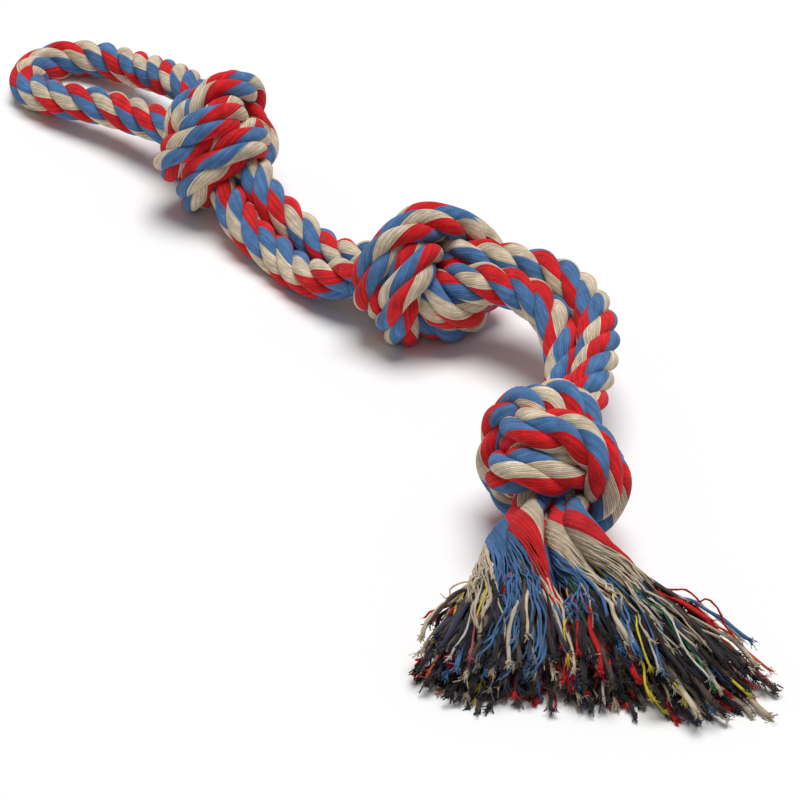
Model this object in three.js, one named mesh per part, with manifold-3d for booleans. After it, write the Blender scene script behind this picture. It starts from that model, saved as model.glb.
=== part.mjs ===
import * as THREE from 'three';
import { mergeVertices } from 'three/addons/utils/BufferGeometryUtils.js';
import Module from 'manifold-3d';

// A rope dog toy. One thick cotton rope is folded in half: the fold is the handle loop, both
// legs are tied together in three doubled overhand knots, and the ends are frayed into a tassel.
// Millimetres, +Z up, +X from the handle to the tassel, the floor at z = 0.

// Rope
const rope_diameter = 25;        // over the four strands
const lay_length = 78;           // one full turn of the strands
const strand_count = 4;
const groove_depth = 2.2;        // between two strands, on a free stretch
const knotted_diameter = 16;     // the same rope where a knot squeezes it
const knotted_groove = 1.4;
const swell_length = 16;         // from the squeezed rope to the full one
const swell_start = 4;           // outside the knot
const leg_gap = 0.8;             // between the two legs where they run side by side
const part_length = 14;          // over which they take that distance
const knot_gap = 1.3;            // between rope and rope inside a knot
const join_gap = 0.3;            // between two pieces of the same rope
const pressed_share = 0.1;       // of the rope's diameter, pressed flat by the floor
const steps_per_lay = 12;

// Knots: the place on the floor, the ways that the rope comes in and leaves, the roll about that
// line in degrees, and how far out the ends are held, in rope widths.
const knots = [
  { name: 'knot_1', centre: [-187, 9], comes: [1, -0.04, 0.02], leaves: [0.97, -0.06, -0.22],
    roll: 205, hand: 1, reach_in_share: 2.4, reach_out_share: 2.4 },
  { name: 'knot_2', centre: [10, 44], comes: [0.85, 0.48, 0.2], leaves: [0.7, 0.68, 0.22],
    roll: 185, hand: 1, reach_in_share: 2.4, reach_out_share: 2.4 },
  { name: 'knot_3', centre: [214, 4], comes: [0.7, -0.71, 0.02], leaves: [0.82, -0.54, -0.19],
    roll: 235, hand: -1, reach_in_share: 2.4, reach_out_share: 2.3, turn_out: -55 },
];

// One overhand knot as it is laid out loose, in widths of the doubled rope.
const knot_route_shares = [
  [-3.2, 0, 0], [-2.2, 0, 0], [-1.5, 0, -0.55], [0.3, 0, 0.55], [1.6, 0.4, 0.1], [2.2, 1.5, -0.55],
  [1.5, 2.7, 0], [0, 3.1, 0], [-1.4, 2.7, 0], [-1.9, 1.4, 0.3], [-1.5, 0, 0.55], [-0.8, -1.2, 0.1],
  [-0.05, -1.1, -0.4], [0.35, 0, -0.6], [0.95, 1, 0.1], [2.2, 1.4, 0.55], [2.9, 0.6, 0.1], [3.2, 0, 0],
];
const legs_side_by_side = 2;
const knot_point_count = 64;     // along each leg
const pull_steps = 3000;
const pull_share = 0.45;
const feed_share = 0.3;          // of the pulling, while the ends come to their places
const held_points = 3;           // at each end
const held_step_share = 0.3;
const bend_share = 0.65;         // the tightest bend's radius, in rope widths
const push_passes = 4;
const push_share = 2;            // of a point's pushes, when there are several
const settle_passes = 60;        // of pushing alone, at the end
const ball_share = 1.62;         // radius that the pulled knot is worked into, in rope widths
const loose_share = 3;           // the same at first
const ball_from_share = 0.3;     // of the pulling
const ball_to_share = 0.6;
const give_share = 0.3;
const stem_points = 7;           // of each end, which the working leaves alone

// Routes of the free rope, point by point: the handle from leg a round to leg b, and the middle
// line of the two legs between the knots.
const handle_route = [
  [-241, -3, 31], [-273, -10, 26], [-304, -21, 22.5], [-345, -41, 14.5], [-378, -46, 11], [-398, -29, 10.5],
  [-402, -6, 11], [-388, 12, 13], [-363, 19, 17], [-323, 26, 26], [-271, 26, 40], [-238, 23, 44],
];
const stretch_routes = [
  [[-122, 2, 21], [-92, 10, 16], [-54, 12, 16]],
  [[74, 88, 50], [105, 87, 47.5], [136, 72, 43]],
];
const neck_length = 40;          // of rope between the first knot and the handle's grip
const run_in_share = 0.25;       // of the rope's diameter, kept clear of a route's two ends

// Tassel. Each strand of both ends is opened into a brush of yarns. The brushes fan out over the
// floor in an upper and a lower layer.
const brush_start = 6.4;         // diameter of a strand where it leaves the knot
const brush_height = 13;
const brush_gap = 0.8;
const brush_ripple = 1.3;        // between the bundles of yarn
const brush_rag = 5;             // of the uneven ends
const brush_points = 16;
const brush_steps = 9;
const square_power = 4;
const layers = 2;
const fan_back = 15;             // from the rope's end to the point that the fan opens from
const fan_reach = 126;           // from that point to the tips of the first brush
const fan_reach_far = 154;       // and of the last
const fan_from = -68;            // degrees
const fan_to = 12;
const fan_lead_share = 0.3;      // of the reach, run straight out of the knot
const fan_fall_share = 0.55;     // of the reach, where a brush has come down
const fan_hump = 5;              // of each layer, before it comes down

const wasm = await Module();
wasm.setup();
const UP = new THREE.Vector3(0, 0, 1);
const vec = (p) => new THREE.Vector3(p[0], p[1], p[2] ?? 0);
const turned = THREE.MathUtils.degToRad;
const smooth = (x) => {
  const t = THREE.MathUtils.clamp(x, 0, 1);
  return t * t * (3 - 2 * t);
};

// The doubled knot: two ropes laid side by side along the loose route, then pulled tight.
// Each step shortens both ropes and pushes apart whatever comes closer than a rope's width.
function pullKnot(comes, leaves, reach_in, reach_out, turn_out) {
  const n = knot_point_count;
  const route = knot_route_shares.map((p) => vec(p).multiplyScalar(legs_side_by_side));
  const middle = new THREE.CatmullRomCurve3(route, false, 'centripetal').getSpacedPoints(n - 1);
  const ends = [
    { way: comes, from: -reach_in, step: held_step_share, turn: 0, index: (i) => i },
    { way: leaves, from: reach_out, step: -held_step_share, turn: turn_out, index: (i) => n - 1 - i },
  ];
  const start = new Float64Array(6 * n);
  const target = new Float64Array(6 * n);
  [1, -1].forEach((side, leg) => {
    middle.forEach((p, i) => {
      const along = middle[Math.min(n - 1, i + 1)].clone().sub(middle[Math.max(0, i - 1)]);
      const across = new THREE.Vector3(-along.y, along.x, 0).normalize();
      p.clone().addScaledVector(across, side / 2).toArray(start, 3 * (leg * n + i));
    });
    for (const { way, from, step, turn, index } of ends) {
      const across = new THREE.Vector3(0, 1, 0).addScaledVector(way, -way.y).normalize();
      across.applyAxisAngle(way, turn);
      for (let i = 0; i < held_points; i++) {
        way.clone().multiplyScalar(from + i * step).addScaledVector(across, side / 2)
          .toArray(target, 3 * (leg * n + index(i)));
      }
    }
  });
  const held = (i) => i < held_points || i >= n - held_points;
  const place = start.slice();
  const next = new Float64Array(6 * n);
  const push = new Float64Array(6 * n);
  const touches = new Float64Array(2 * n);
  let spacing = 0;
  for (let step = 0; step < pull_steps; step++) {
    const fed = Math.min(1, step / (feed_share * pull_steps));
    let length = 0;
    for (let k = 0; k < 2 * n; k++) {
      for (let c = 3 * k; c < 3 * k + 3; c++) {
        next[c] = held(k % n) ? start[c] + (target[c] - start[c]) * fed
          : place[c] + pull_share * (place[c - 3] + place[c + 3] - 2 * place[c]);
      }
      if (k % n) {
        const j = 3 * k;
        length += Math.hypot(next[j] - next[j - 3], next[j + 1] - next[j - 2], next[j + 2] - next[j - 1]);
      }
    }
    spacing = length / (2 * (n - 1));
    pressBall(next, n, step / pull_steps);
    for (let pass = 0; pass < push_passes; pass++) pushApart(next, push, touches, n, spacing, held);
    place.set(next);
  }
  for (let pass = 0; pass < settle_passes; pass++) pushApart(place, push, touches, n, spacing, held);
  return [0, 1].map((leg) => Array.from({ length: n },
    (_, i) => new THREE.Vector3().fromArray(place, 3 * (leg * n + i))));
}

// The knot is worked round: what stands out of the ball is pressed back into it.
function pressBall(at, n, done) {
  if (done < ball_from_share) return;
  const shrunk = (done - ball_from_share) / (ball_to_share - ball_from_share);
  const ball = Math.max(ball_share, loose_share - (loose_share - ball_share) * shrunk);
  for (let k = 0; k < 2 * n; k++) {
    if (k % n < stem_points || k % n >= n - stem_points) continue;
    const out = Math.hypot(at[3 * k], at[3 * k + 1], at[3 * k + 2]);
    if (out <= ball) continue;
    for (let c = 3 * k; c < 3 * k + 3; c++) at[c] *= 1 - give_share * (out - ball) / out;
  }
}

// Points further along the same rope may be as near as its tightest bend brings them.
function pushApart(at, push, touches, n, spacing, held) {
  push.fill(0);
  touches.fill(0);
  for (let a = 0; a < 2 * n; a++) {
    for (let b = a + 2; b < 2 * n; b++) {
      let need = 1;
      const run = (b - a) * spacing;
      if ((a < n) === (b < n) && run < Math.PI * bend_share) {
        need = Math.min(1, 2 * bend_share * Math.sin(run / (2 * bend_share)));
      }
      const x = at[3 * b] - at[3 * a];
      if (x > need || x < -need) continue;
      const y = at[3 * b + 1] - at[3 * a + 1];
      const z = at[3 * b + 2] - at[3 * a + 2];
      const apart = Math.hypot(x, y, z);
      if (apart >= need || apart === 0) continue;
      const half = (need - apart) / apart / 2;
      [x, y, z].forEach((v, c) => {
        push[3 * a + c] -= v * half;
        push[3 * b + c] += v * half;
      });
      touches[a] += 1;
      touches[b] += 1;
    }
  }
  for (let k = 0; k < 2 * n; k++) {
    if (held(k % n) || !touches[k]) continue;
    const share = Math.min(1, push_share / touches[k]);
    for (let c = 3 * k; c < 3 * k + 3; c++) at[c] += push[c] * share;
  }
}

// A knot in its place: rolled about its axis, and let down until the floor presses it flat.
function placeKnot(knot) {
  const pitch = knotted_diameter + knot_gap;
  const comes = vec(knot.comes).normalize();
  const leaves = vec(knot.leaves).normalize();
  const along = comes.clone().add(leaves).normalize();
  const across = new THREE.Vector3().crossVectors(UP, along).normalize().applyAxisAngle(along, turned(knot.roll));
  const out = new THREE.Vector3().crossVectors(along, across).multiplyScalar(knot.hand);
  const local = (v) => new THREE.Vector3(v.dot(along), v.dot(across), v.dot(out));
  const turn_out = turned(knot.turn_out ?? 0) * knot.hand;
  const pulled = pullKnot(local(comes), local(leaves), knot.reach_in_share, knot.reach_out_share, turn_out);
  const legs = pulled.map((leg) => leg.map((p) => new THREE.Vector3().addScaledVector(along, p.x * pitch)
    .addScaledVector(across, p.y * pitch).addScaledVector(out, p.z * pitch)));
  const lowest = Math.min(...legs.flat().map((p) => p.z));
  const height = knotted_diameter / 2 - pressed_share * knotted_diameter - lowest;
  legs.flat().forEach((p) => p.add(new THREE.Vector3(knot.centre[0], knot.centre[1], height)));
  const sideways = (way) => across.clone().addScaledVector(way, -across.dot(way)).normalize();
  return { legs, comes, leaves, across_in: sideways(comes), across_out: sideways(leaves) };
}

// The two legs between two knots: they run side by side, and turn about each other so that they
// meet both knots as those hold them.
function runPair(from, to, route) {
  const ends = (knot, last) => [0, 1].map((back) => {
    const index = last ? knot_point_count - 1 - back : back;
    return knot.legs[0][index].clone().add(knot.legs[1][index]).multiplyScalar(1 / 2);
  });
  const [exit, before_exit] = ends(from, true);
  const [entry, after_entry] = ends(to, false);
  const middle = new THREE.CatmullRomCurve3(
    [before_exit, exit, ...route.map(vec), entry, after_entry], false, 'centripetal');
  const all = middle.getSpacedPoints(Math.round(middle.getLength() / (lay_length / steps_per_lay)));
  const clear = run_in_share * rope_diameter;
  const inside = all.filter((p) => p.clone().sub(exit).dot(from.leaves) > clear
    && p.clone().sub(entry).dot(to.comes) < -clear);
  const line = [exit, ...inside, entry];
  const sides = [from.across_out.clone()];
  const travelled = [0];
  for (let i = 1; i < line.length; i++) {
    const way = line[Math.min(line.length - 1, i + 1)].clone().sub(line[i - 1]).normalize();
    sides.push(sides[i - 1].clone().addScaledVector(way, -sides[i - 1].dot(way)).normalize());
    travelled.push(travelled[i - 1] + line[i].distanceTo(line[i - 1]));
  }
  const last = sides[sides.length - 1];
  const cross = new THREE.Vector3().crossVectors(last, to.across_in);
  const turn = Math.atan2(cross.dot(to.comes), last.dot(to.across_in));
  const total = travelled[line.length - 1];
  const legs = [[], []];
  for (let i = 1; i < line.length - 1; i++) {
    const way = line[i + 1].clone().sub(line[i - 1]).normalize();
    const side = sides[i].clone().applyAxisAngle(way, turn * smooth(travelled[i] / total));
    const full = smooth(Math.min(travelled[i], total - travelled[i]) / part_length);
    const apart = (knotted_diameter + knot_gap) * (1 - full) + (rope_diameter + leg_gap) * full;
    [1, -1].forEach((sign, leg) => legs[leg].push(line[i].clone().addScaledVector(side, sign * apart / 2)));
  }
  return legs;
}

// The whole rope as one line, from leg a's end up to the handle and back down leg b.
const tied = knots.map(placeKnot);
const pairs = stretch_routes.map((route, i) => runPair(tied[i], tied[i + 1], route));
const points = [];
const knotted = [];
function lay(run, leg) {
  points.push(...(leg === 'a' ? [...run.legs[0]].reverse() : run.legs[1]));
}
function layKnot(i, leg) {
  const from = points.length;
  lay(tied[i], leg);
  knotted.push({ name: `${knots[i].name}_leg_${leg}`, from, to: points.length - 1 });
}
for (let i = knots.length - 1; i > 0; i--) {
  layKnot(i, 'a');
  lay({ legs: pairs[i - 1] }, 'a');
}
layKnot(0, 'a');
points.push(...handle_route.map(vec));
layKnot(0, 'b');
for (let i = 1; i < knots.length; i++) {
  lay({ legs: pairs[i - 1] }, 'b');
  layKnot(i, 'b');
}

// Arc length along the rope, and a frame carried along it without twist.
const steps_between = 4;
const curve = new THREE.CatmullRomCurve3(points, false, 'centripetal');
const track = [];
for (let i = 0; i <= (points.length - 1) * steps_between; i++) {
  track.push({ at: curve.getPoint(i / ((points.length - 1) * steps_between)), s: 0 });
}
track.forEach((here, i) => {
  if (i) here.s = track[i - 1].s + here.at.distanceTo(track[i - 1].at);
  here.way = track[Math.min(track.length - 1, i + 1)].at.clone().sub(track[Math.max(0, i - 1)].at).normalize();
  const carried = i ? track[i - 1].side : new THREE.Vector3().crossVectors(UP, here.way);
  here.side = carried.clone().addScaledVector(here.way, -carried.dot(here.way)).normalize();
});
const rope_length = track[track.length - 1].s;
for (const knot of knotted) {
  knot.from = track[knot.from * steps_between].s;
  knot.to = track[knot.to * steps_between].s;
}

// How full the rope is at s: 0 in a knot, 1 on a free stretch.
function fullness(s) {
  const away = Math.min(...knotted.map(({ from, to }) => Math.max(from - s, s - to, 0)));
  return smooth((away - swell_start) / swell_length);
}
function radiusAt(s) {
  return (knotted_diameter + (rope_diameter - knotted_diameter) * fullness(s)) / 2;
}
function ropeAt(s) {
  let low = 0;
  let high = track.length - 1;
  while (high - low > 1) {
    const half = (low + high) >> 1;
    if (track[half].s <= s) low = half;
    else high = half;
  }
  const share = (s - track[low].s) / (track[high].s - track[low].s);
  const at = track[low].at.clone().lerp(track[high].at, share);
  const way = track[low].way.clone().lerp(track[high].way, share).normalize();
  const side = track[low].side.clone().lerp(track[high].side, share);
  side.addScaledVector(way, -side.dot(way)).normalize();
  return { at, way, side, third: new THREE.Vector3().crossVectors(way, side) };
}

// A closed skin over rings of points, with a flat face at each end.
function skin(rings) {
  const sides = rings[0].length;
  const positions = rings.flat().flatMap((p) => p.toArray());
  const index = [];
  for (let i = 0; i + 1 < rings.length; i++) {
    for (let j = 0; j < sides; j++) {
      const a = i * sides + j;
      const b = i * sides + ((j + 1) % sides);
      index.push(a, b, b + sides, a, b + sides, a + sides);
    }
  }
  for (const ring of [0, rings.length - 1]) {
    const middle = new THREE.Vector3();
    rings[ring].forEach((p) => middle.addScaledVector(p, 1 / sides));
    const centre = positions.length / 3;
    positions.push(...middle.toArray());
    for (let j = 0; j < sides; j++) {
      const a = ring * sides + j;
      const b = ring * sides + ((j + 1) % sides);
      index.push(...(ring ? [centre, a, b] : [centre, b, a]));
    }
  }
  const geometry = new THREE.BufferGeometry();
  geometry.setAttribute('position', new THREE.Float32BufferAttribute(positions, 3));
  geometry.setIndex(index);
  return geometry;
}

// A run of the laid rope: a crest on each strand and a groove between, turning with the lay.
function ropeRun(from, to) {
  const steps = Math.max(2, Math.round((to - from) / (lay_length / steps_per_lay)));
  const rings = [];
  for (let i = 0; i <= steps; i++) {
    const s = from + (to - from) * (i / steps);
    const { at, way, side, third } = ropeAt(s);
    if (i === 0) at.addScaledVector(way, join_gap / 2);
    if (i === steps) at.addScaledVector(way, -join_gap / 2);
    const crest = radiusAt(s);
    const groove = crest - knotted_groove - (groove_depth - knotted_groove) * fullness(s);
    const ring = [];
    for (let j = 0; j < 2 * strand_count; j++) {
      const angle = 2 * Math.PI * (s / lay_length + j / (2 * strand_count));
      const radius = j % 2 ? groove : crest;
      ring.push(at.clone().addScaledVector(side, radius * Math.cos(angle))
        .addScaledVector(third, radius * Math.sin(angle)));
    }
    rings.push(ring);
  }
  return skin(rings);
}

// Solid cutting, for what the floor presses flat.
function toSolid(geometry) {
  const bare = geometry.clone();
  for (const name of Object.keys(bare.attributes)) {
    if (name !== 'position') bare.deleteAttribute(name);
  }
  const merged = mergeVertices(bare);
  return new wasm.Manifold(new wasm.Mesh({
    numProp: 3,
    vertProperties: new Float32Array(merged.attributes.position.array),
    triVerts: new Uint32Array(merged.index.array),
  }));
}
function toGeometry(solid) {
  const mesh = solid.getMesh();
  const geometry = new THREE.BufferGeometry();
  geometry.setAttribute('position', new THREE.BufferAttribute(new Float32Array(mesh.vertProperties), 3));
  geometry.setIndex(new THREE.BufferAttribute(new Uint32Array(mesh.triVerts), 1));
  return geometry;
}
function standOnFloor(geometry) {
  geometry.computeBoundingBox();
  const { min, max } = geometry.boundingBox;
  if (min.z >= 0) return geometry;
  const size = max.clone().sub(min).addScalar(rope_diameter);
  const floor = new THREE.BoxGeometry(size.x, size.y, rope_diameter);
  floor.translate((min.x + max.x) / 2, (min.y + max.y) / 2, -rope_diameter / 2);
  return toGeometry(toSolid(geometry).subtract(toSolid(floor)));
}

// Cotton. Each leg and the handle take one of the rope's three yarn colours, and the frayed
// ends that of the dark core.
const colours = { a: 0xb0474a, b: 0x5a7fa6, handle: 0xc8b99b, upper: 0x6d6a78, lower: 0x4a4650 };
const group = new THREE.Group();
function add(name, geometry, colour) {
  const placed = standOnFloor(geometry);
  placed.computeVertexNormals();
  const mesh = new THREE.Mesh(placed, new THREE.MeshStandardMaterial({ color: colour, roughness: 0.95, metalness: 0 }));
  mesh.name = name;
  group.add(mesh);
}

// The rope's pieces, in order along it: each leg's part of each knot, and what runs between.
const free_names = ['stretch_2_leg_a', 'stretch_1_leg_a', 'handle', 'stretch_1_leg_b', 'stretch_2_leg_b'];
knotted.forEach(({ name, from, to }) => add(name, ropeRun(from, to), colours[name.at(-1)]));
free_names.forEach((name, i) => {
  const from = knotted[i].to;
  const to = knotted[i + 1].from;
  if (name !== 'handle') {
    add(name, ropeRun(from, to), colours[name.at(-1)]);
    return;
  }
  add('handle_neck_leg_a', ropeRun(from, from + neck_length), colours.a);
  add('handle_grip', ropeRun(from + neck_length, to - neck_length), colours.handle);
  add('handle_neck_leg_b', ropeRun(to - neck_length, to), colours.b);
});

// The tassel. Every point of a brush keeps its place among its neighbours from the strand's
// round end to the flat, ragged tip.
const ends = [ropeAt(0), ropeAt(rope_length)];
const outward = ends[1].way.clone().sub(ends[0].way).normalize();
const level = new THREE.Vector3().crossVectors(UP, outward).normalize();
const rise = new THREE.Vector3().crossVectors(outward, level);
const end_middle = ends[0].at.clone().add(ends[1].at).multiplyScalar(1 / 2);
const fan_point = end_middle.clone().addScaledVector(outward, -fan_back);
const columns = ends.map(({ at }, i) => ({ letter: i ? 'b' : 'a', x: at.clone().sub(end_middle).dot(level) }))
  .sort((p, q) => p.x - q.x);
const brushes_across = 2 * columns.length;
const half_strand = (knotted_diameter / 2 - knotted_groove) / 2 + join_gap;

function brush(column, layer, start_x) {
  const angle_step = (fan_to - fan_from) / brushes_across;
  const angle = fan_from + angle_step * (column + 1 / 2);
  const reach = fan_reach + (fan_reach_far - fan_reach) * (column + 1 / 2) / brushes_across;
  const half_angle = angle_step / 2 - THREE.MathUtils.radToDeg(brush_gap / 2 / (reach * fan_fall_share));
  const middle_z = brush_height / 2 + layer * (brush_height + brush_gap);
  const fanned = (across, up, along, lift) => {
    const way = turned(angle + across * half_angle);
    return new THREE.Vector3(fan_point.x + along * Math.cos(way), fan_point.y + along * Math.sin(way),
      middle_z + lift + up * brush_height / 2);
  };
  const rings = Array.from({ length: brush_steps + 1 }, () => []);
  for (let j = 0; j < brush_points; j++) {
    const around = 2 * Math.PI * j / brush_points;
    const p = Math.cos(around);
    const q = Math.sin(around);
    const square = (p ** square_power + q ** square_power) ** (-1 / square_power);
    const ridge = square * (j % 2 ? 1 - 2 * brush_ripple / brush_height : 1);
    const rag = brush_rag * Math.sin(j * strand_count + column + layer);
    const from = end_middle.clone().addScaledVector(outward, join_gap)
      .addScaledVector(level, start_x + p * brush_start / 2)
      .addScaledVector(rise, (layer ? 1 : -1) * half_strand + q * brush_start / 2);
    const path = new THREE.CubicBezierCurve3(from,
      from.clone().addScaledVector(outward, reach * fan_lead_share),
      fanned(p * ridge, q * ridge, reach * fan_fall_share, fan_hump * (1 + layer)),
      fanned(p * ridge, q * ridge, reach + rag, 0));
    for (let i = 0; i <= brush_steps; i++) rings[i].push(path.getPoint(i / brush_steps));
  }
  return skin(rings);
}
const counts = { a: 0, b: 0 };
for (let layer = layers - 1; layer >= 0; layer--) {
  columns.forEach(({ letter, x }, k) => {
    for (const side of [0, 1]) {
      counts[letter] += 1;
      add(`tassel_end_${letter}${counts[letter]}`,
        brush(2 * k + side, layer, x + (side ? half_strand : -half_strand)),
        layer ? colours.upper : colours.lower);
    }
  });
}

// The origin is under the middle of the whole toy.
const box = new THREE.Box3().setFromObject(group);
group.position.set(-(box.min.x + box.max.x) / 2, -(box.min.y + box.max.y) / 2, 0);
console.log(`moved to the middle by ${group.position.x.toFixed(2)}, ${group.position.y.toFixed(2)} mm`);

// The rope's length, and its least gap to itself, away from its own neighbourhood.
function leastGap() {
  const pace = lay_length / (2 * steps_per_lay);
  const samples = [];
  for (let s = 0; s < rope_length; s += pace) samples.push({ s, at: ropeAt(s).at, radius: radiusAt(s) });
  let least = Infinity;
  samples.forEach((p, i) => {
    for (const q of samples.slice(i + 1)) {
      if (q.s - p.s < Math.PI * bend_share * rope_diameter) continue;
      least = Math.min(least, p.at.distanceTo(q.at) - p.radius - q.radius);
    }
  });
  return least;
}
console.log(`rope length ${rope_length.toFixed(0)} mm, least gap to itself ${leastGap().toFixed(2)} mm`);

export default group;
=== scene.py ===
import math

import bpy
import numpy as np
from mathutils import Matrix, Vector


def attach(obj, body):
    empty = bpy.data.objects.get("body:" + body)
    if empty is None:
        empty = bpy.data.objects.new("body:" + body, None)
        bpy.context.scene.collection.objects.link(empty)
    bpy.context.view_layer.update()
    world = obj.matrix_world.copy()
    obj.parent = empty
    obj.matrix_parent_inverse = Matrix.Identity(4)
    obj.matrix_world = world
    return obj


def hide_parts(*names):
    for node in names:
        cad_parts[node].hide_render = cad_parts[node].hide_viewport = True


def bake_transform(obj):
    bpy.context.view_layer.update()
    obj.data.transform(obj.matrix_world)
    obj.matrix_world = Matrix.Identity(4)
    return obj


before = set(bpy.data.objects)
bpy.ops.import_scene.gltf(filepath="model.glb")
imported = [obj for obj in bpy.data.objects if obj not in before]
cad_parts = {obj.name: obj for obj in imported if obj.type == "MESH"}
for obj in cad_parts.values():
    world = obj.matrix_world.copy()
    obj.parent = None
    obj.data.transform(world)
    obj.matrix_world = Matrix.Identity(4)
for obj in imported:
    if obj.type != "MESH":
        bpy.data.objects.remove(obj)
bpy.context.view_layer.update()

scene = bpy.context.scene

# The camera. It looks down at the toy from beyond the tassel's left side, from about 1.6 m away. The
# lens is long, so the nearest knot shows only about a fifth larger than the farthest one.
camera_place = Vector((1.2284, -0.6327, 0.853))
camera_heading = (-0.874, 0.486)
camera_pitch = math.radians(33)
camera_lens = 126
camera_sensor = 36
view_down = Vector((*camera_heading, 0)).normalized() * math.cos(camera_pitch)
view_down.z = -math.sin(camera_pitch)
bpy.ops.object.camera_add(location=camera_place, rotation=view_down.to_track_quat("-Z", "Y").to_euler())
scene.camera = bpy.context.object
scene.camera.data.lens = camera_lens
scene.camera.data.sensor_width = camera_sensor

# The rope's course. One cotton rope is folded in half: the fold is the handle, and both legs are
# tied together in three doubled overhand knots. Each knot is laid out loose and pulled tight here,
# as it is when the toy is made, and the whole rope then follows one line.
rope_diameter = 0.025
knotted_diameter = 0.016
lay_length = 0.078
steps_per_lay = 12
steps_between = 4
curve_samples = 201
swell_length = 0.018   # from the squeezed rope to the full one
swell_start = -0.020   # outwards from the knot's end, so it starts inside the knot
leg_gap = -0.0040      # the two legs' strands lie in each other's grooves
part_length = 0.014    # over which the two legs part after a knot
knot_gap = 0.0013      # between turns of the squeezed rope
pressed_share = 0.1    # of the rope's width, pressed flat by the floor
run_in_share = 0.25    # of the rope's width, kept clear before and after a knot

# Where each knot lies, the ways that the legs come and leave, how far it is rolled about them, its
# hand (-1 is the mirrored knot), and how far from its middle its ends are held, in rope widths.
knots = [
    dict(centre=(-0.187, 0.009), comes=(1, -0.04, 0.02), leaves=(0.97, -0.06, -0.22),
         roll=205, hand=1, reach_in=2.4, reach_out=2.4, turn_out=0),
    dict(centre=(0.010, 0.044), comes=(0.85, 0.48, 0.2), leaves=(0.7, 0.68, 0.22),
         roll=185, hand=1, reach_in=2.4, reach_out=2.4, turn_out=0),
    dict(centre=(0.214, 0.004), comes=(0.7, -0.71, 0.02), leaves=(0.82, -0.54, -0.19),
         roll=235, hand=-1, reach_in=2.4, reach_out=2.3, turn_out=-55),
]

# The handle's middle line from leg to leg, then the line that both legs follow between two knots, and
# the shift that puts the toy's middle over the origin.
handle_route = [
    (-0.241, -0.003, 0.031), (-0.273, -0.010, 0.026), (-0.304, -0.021, 0.0225), (-0.345, -0.041, 0.0145),
    (-0.378, -0.046, 0.011), (-0.398, -0.029, 0.0105), (-0.402, -0.006, 0.011), (-0.388, 0.012, 0.013),
    (-0.363, 0.019, 0.017), (-0.323, 0.026, 0.026), (-0.271, 0.026, 0.040), (-0.238, 0.023, 0.044),
]
stretch_routes = [
    [(-0.122, 0.002, 0.021), (-0.092, 0.010, 0.016), (-0.054, 0.012, 0.016)],
    [(0.074, 0.088, 0.050), (0.105, 0.087, 0.0475), (0.136, 0.072, 0.043)],
]
centred = np.array([0.01219, 0.01017, 0])

# How a knot is tied. The loose knot's route is in units of two rope widths, and the lengths below it
# are in units of one.
knot_route = [
    (-3.2, 0, 0), (-2.2, 0, 0), (-1.5, 0, -0.55), (0.3, 0, 0.55), (1.6, 0.4, 0.1), (2.2, 1.5, -0.55),
    (1.5, 2.7, 0), (0, 3.1, 0), (-1.4, 2.7, 0), (-1.9, 1.4, 0.3), (-1.5, 0, 0.55), (-0.8, -1.2, 0.1),
    (-0.05, -1.1, -0.4), (0.35, 0, -0.6), (0.95, 1, 0.1), (2.2, 1.4, 0.55), (2.9, 0.6, 0.1), (3.2, 0, 0),
]
route_scale = 2
knot_point_count = 64
pull_steps = 3000
pull_share = 0.45
feed_share = 0.3
held_points = 3
held_step = 0.3
bend_radius = 0.65
push_passes = 4
push_share = 2
settle_passes = 60
ball_radius = 1.62
loose_radius = 3
ball_from = 0.3
ball_to = 0.6
give_share = 0.3
stem_points = 7


def unit(v):
    v = np.asarray(v, dtype=float)
    return v / np.linalg.norm(v, axis=-1, keepdims=True)


def smooth(x):
    t = np.clip(x, 0, 1)
    return t * t * (3 - 2 * t)


def turn_about(v, axis, angle):
    along = axis * np.dot(axis, v)
    return along + (v - along) * math.cos(angle) + np.cross(axis, v) * math.sin(angle)


def square_to(side, way):
    """The part of a direction that is square to a way."""
    return unit(side - way * (side @ way))


def all_square_to(sides, ways):
    return unit(sides - ways * np.sum(sides * ways, axis=-1, keepdims=True))


def carried_along(side, ways):
    """A direction across the first way, carried along the others without turning round them."""
    sides = [side]
    for way in ways[1:]:
        sides.append(square_to(sides[-1], way))
    return np.array(sides)


def ahead_on(line):
    """At each point of a line, the step from the point before it to the point after it."""
    return np.vstack([line[1:], line[-1:]]) - np.vstack([line[:1], line[:-1]])


def on_curve(points, t):
    """Points of a centripetal Catmull-Rom curve, t from 0 to 1."""
    points = np.asarray(points, dtype=float)
    padded = np.vstack([2 * points[0] - points[1], points, 2 * points[-1] - points[-2]])
    place = np.asarray(t, dtype=float) * (len(points) - 1)
    index = np.minimum(place.astype(int), len(points) - 2)
    w = (place - index)[:, None]
    before, start, end, after = (padded[index + k] for k in range(4))
    steps = ((before, start), (start, end), (end, after))
    gap_in, gap, gap_out = (np.sqrt(np.linalg.norm(b - a, axis=1))[:, None] for a, b in steps)
    leaving = ((start - before) / gap_in - (end - before) / (gap_in + gap) + (end - start) / gap) * gap
    coming = ((end - start) / gap - (after - start) / (gap + gap_out) + (after - end) / gap_out) * gap
    return (start + leaving * w + (3 * (end - start) - 2 * leaving - coming) * w ** 2
            + (2 * (start - end) + leaving + coming) * w ** 3)


def travelled(line):
    return np.concatenate([[0], np.cumsum(np.linalg.norm(np.diff(line, axis=0), axis=1))])


def spaced_points(points, count):
    fine = np.linspace(0, 1, curve_samples)
    lengths = travelled(on_curve(points, fine))
    return on_curve(points, np.interp(np.linspace(0, lengths[-1], count + 1), lengths, fine))


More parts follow.
